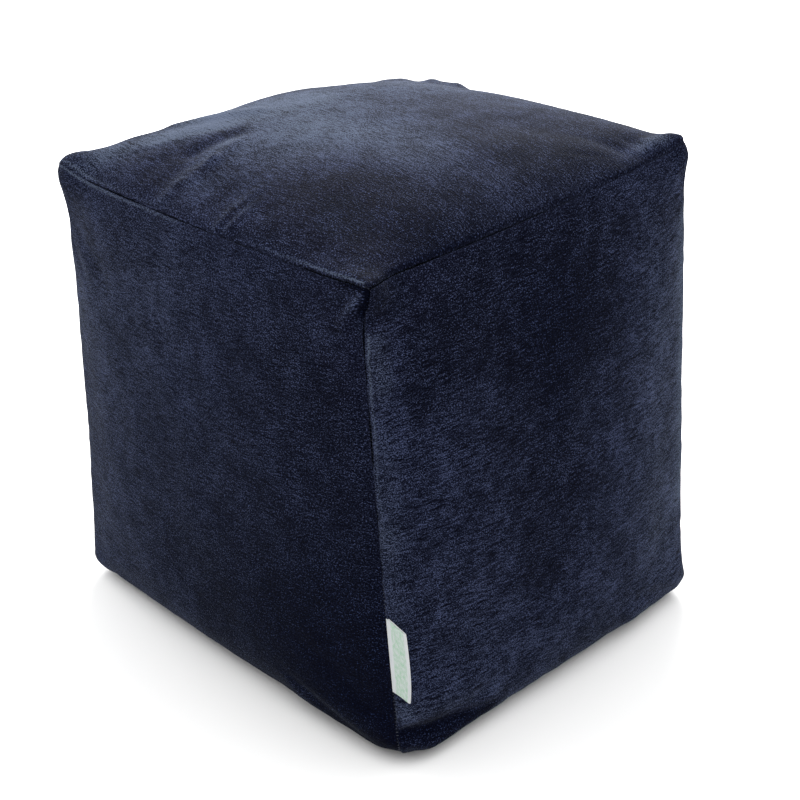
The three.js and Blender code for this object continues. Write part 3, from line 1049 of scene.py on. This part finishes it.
def stitchTree(material):
    tree = bpy.data.node_groups.new("seamStitches", "GeometryNodeTree")
    face = tree.interface
    face.new_socket("Seams", in_out="INPUT", socket_type="NodeSocketGeometry")
    for name in ("Pitch", "Length", "Thread"):
        socket = face.new_socket(name, in_out="INPUT", socket_type="NodeSocketFloat")
        socket.default_value = stitch[name.lower()]
    face.new_socket("Stitches", in_out="OUTPUT", socket_type="NodeSocketGeometry")

    def add(kind, settings=None, inputs=None):
        made = tree.nodes.new(kind)
        for key, value in (settings or {}).items():
            setattr(made, key, value)
        for key, value in (inputs or {}).items():
            if isinstance(value, bpy.types.NodeSocket):
                tree.links.new(value, made.inputs[key])
            else:
                made.inputs[key].default_value = value
        return made

    given = add("NodeGroupInput")
    curve = add("GeometryNodeMeshToCurve", {}, {"Mesh": given.outputs["Seams"]})
    spaced = add("GeometryNodeCurveToPoints", {"mode": "LENGTH"},
                 {"Curve": curve.outputs["Curve"], "Length": given.outputs["Pitch"]})
    facing = add("GeometryNodeInputNamedAttribute", {"data_type": "FLOAT_VECTOR"}, {"Name": "facing"})
    upright = add("FunctionNodeAlignRotationToVector", {"axis": "Z"},
                  {"Vector": facing.outputs["Attribute"]})
    turned = add("FunctionNodeAlignRotationToVector", {"axis": "X", "pivot_axis": "Z"},
                 {"Rotation": upright.outputs["Rotation"], "Vector": spaced.outputs["Tangent"]})
    thread = add("GeometryNodeMeshUVSphere", {}, {
        "Segments": stitch["sides"], "Rings": stitch["rings"], "Radius": 1.0})
    wide = add("ShaderNodeMath", {"operation": "MULTIPLY"}, {0: given.outputs["Length"], 1: 0.5})
    size = add("ShaderNodeCombineXYZ", {}, {
        "X": given.outputs["Thread"], "Y": wide.outputs[0], "Z": given.outputs["Thread"]})
    wobble = add("FunctionNodeRandomValue", {"data_type": "FLOAT_VECTOR"},
                 {0: stitch["least"], 1: stitch["most"], "Seed": stitch["seed"]})
    scaled = add("ShaderNodeVectorMath", {"operation": "MULTIPLY"},
                 {0: size.outputs[0], 1: wobble.outputs[0]})
    placed = add("GeometryNodeInstanceOnPoints", {}, {
        "Points": spaced.outputs["Points"], "Instance": thread.outputs["Mesh"],
        "Rotation": turned.outputs["Rotation"], "Scale": scaled.outputs[0]})
    real = add("GeometryNodeRealizeInstances", {}, {"Geometry": placed.outputs["Instances"]})
    dyed = add("GeometryNodeSetMaterial", {}, {
        "Geometry": real.outputs["Geometry"], "Material": material})
    add("NodeGroupOutput", {}, {"Stitches": dyed.outputs["Geometry"]})
    return tree


def makeStitches(material):
    places, facings, edgeList = [], [], []
    for seam in seams:
        place, facing = seamPath(*seam)
        first = sum(len(p) for p in places)
        places.append(place)
        facings.append(facing)
        edgeList += [(first + k, first + k + 1) for k in range(len(place) - 1)]
    mesh = bpy.data.meshes.new("seamLines")
    mesh.from_pydata(np.concatenate(places).tolist(), edgeList, [])
    facing = mesh.attributes.new("facing", "FLOAT_VECTOR", "POINT")
    facing.data.foreach_set("vector", np.concatenate(facings).ravel())
    lines = bpy.data.objects.new("seamLines", mesh)
    scene.collection.objects.link(lines)
    sewing = lines.modifiers.new("sewing", "NODES")
    sewing.node_group = stitchTree(material)
    sockets = {item.name: item.identifier for item in sewing.node_group.interface.items_tree}
    for name in ("Pitch", "Length", "Thread"):
        sewing[sockets[name]] = stitch[name.lower()]
    evaluated = lines.evaluated_get(bpy.context.evaluated_depsgraph_get())
    sewn = bpy.data.meshes.new_from_object(evaluated)
    sewn.name = "seam_stitches"
    made = bpy.data.objects.new("seam_stitches", sewn)
    scene.collection.objects.link(made)
    lines.modifiers.remove(sewing)
    bpy.data.objects.remove(lines)
    return made


def makeThread():
    finish = newFinish("sewingThread")
    return finish.surface({
        "Base Color": stitch["colour"], "Roughness": 0.6, "Specular IOR Level": 0.4})


stitches = makeStitches(makeThread())
print("seams stitched:", len(stitches.data.polygons), "faces")

# --- studio: a white floor under a soft sky, brightest overhead and towards the back left
studio = {
    "floorReach": 6.0,
    "floorTone": 0.80,
    "horizon": 0.30,
    "zenith": 3.2,
    "falloff": 1.4,
    "lampAim": (0, 0, 0.2),
}
lamps = [
    {"name": "backLight", "at": (-1.15, 1.20, 1.15), "size": 1.0, "watts": 54.0},
    {"name": "leftWindow", "at": (-2.3, -0.3, 0.9), "size": 1.0, "watts": 14.0},
]


def addStage():
    corners = np.array([(-1, -1, 0), (1, -1, 0), (1, 1, 0), (-1, 1, 0)]) * studio["floorReach"]
    floor = makeObject("floor", corners, np.array([[0, 1, 2, 3]]), smooth=False)
    tone = studio["floorTone"]
    matt = {"Base Color": (tone, tone, tone, 1), "Roughness": 0.9}
    floor.data.materials.append(newFinish("paleFloor").surface(matt))


def addSky():
    world = bpy.data.worlds.new("softSky")
    scene.world = world
    sky = Finish(world)
    toward = sky.node("ShaderNodeTexCoord", out="Generated")
    up = sky.node("ShaderNodeSeparateXYZ", {}, {"Vector": toward}, out="Z")
    rise = sky.node("ShaderNodeMath", {"operation": "POWER"}, {0: sky.clamp(up), 1: studio["falloff"]})
    glow = sky.node("ShaderNodeBackground", {}, {"Strength": rise * studio["zenith"] + studio["horizon"]})
    sky.node("ShaderNodeOutputWorld", {}, {"Surface": glow})
    scene.view_settings.view_transform = "Standard"


def addLamps():
    for lamp in lamps:
        data = bpy.data.lights.new(lamp["name"], "AREA")
        data.energy = lamp["watts"]
        data.size = lamp["size"]
        light = bpy.data.objects.new(lamp["name"], data)
        light.location = lamp["at"]
        light.rotation_mode = "QUATERNION"
        toward = Vector(studio["lampAim"]) - light.location
        light.rotation_quaternion = toward.to_track_quat("-Z", "Y")
        scene.collection.objects.link(light)


addStage()
addSky()
addLamps()
print("studio lit")

# --- where each piece rides, and the solid it stands for, which is hidden
for name, panel in clothPanels.items():
    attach(panel, "root")
    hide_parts("panel_" + name)
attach(fill, "root")
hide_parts("pouf_body")
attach(labelTape, "root")
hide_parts("side_label")
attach(stitches, "root")
